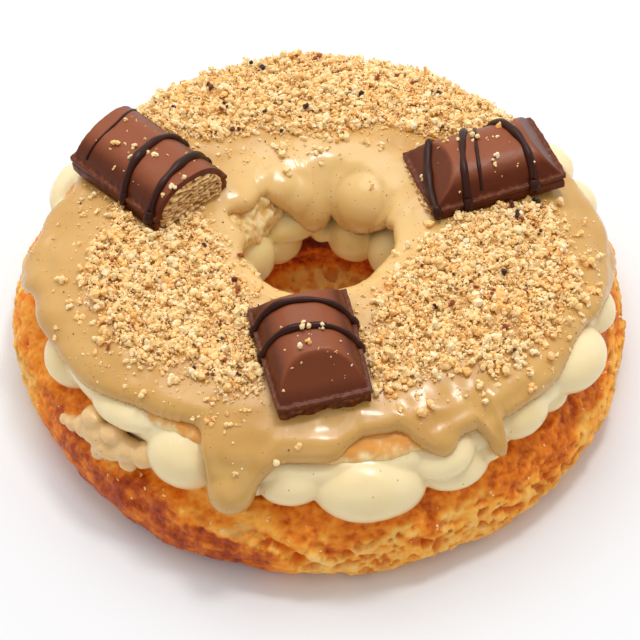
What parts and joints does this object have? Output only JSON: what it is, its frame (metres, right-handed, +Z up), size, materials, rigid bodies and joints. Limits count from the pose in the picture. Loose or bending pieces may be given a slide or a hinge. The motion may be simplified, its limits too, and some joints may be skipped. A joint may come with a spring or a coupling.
{
  "type": "king cake",
  "caption": "Brioche ring cake split and filled with piped vanilla cream, under hazelnut glaze with dripping edges, nut crumbs and pieces of filled milk chocolate.",
  "frame": {"origin": "on the surface that the cake stands on, below the middle of the ring", "axes": "+Z up, -Y towards the front of the cake, where one chocolate piece points at the rim, and +X to its right"},
  "size_m": [0.1619, 0.1597, 0.0529],
  "materials": {
    "baked_brioche": "baked golden brown crust, porous at the side",
    "brioche_crumb": "soft torn crumb",
    "vanilla_pastry_cream": "smooth satin cream with vanilla specks",
    "hazelnut_glaze": "glossy set glaze with fine specks and fused nut crumbs",
    "milk_chocolate": "satin milk chocolate with darker drizzle",
    "wafer_and_praline": "dry flaky wafer layers"
  },
  "bodies": {
    "root": {"brioche_base": "baked_brioche", "brioche_lid": "brioche_crumb", "pastry_cream": "vanilla_pastry_cream", "hazelnut_glaze": "hazelnut_glaze", "glaze_spill": "hazelnut_glaze", "chocolate_front": "milk_chocolate", "chocolate_left": "milk_chocolate", "chocolate_right": "milk_chocolate", "wafer_left": "wafer_and_praline", "wafer_right": "wafer_and_praline"}
  },
  "joints": []
}
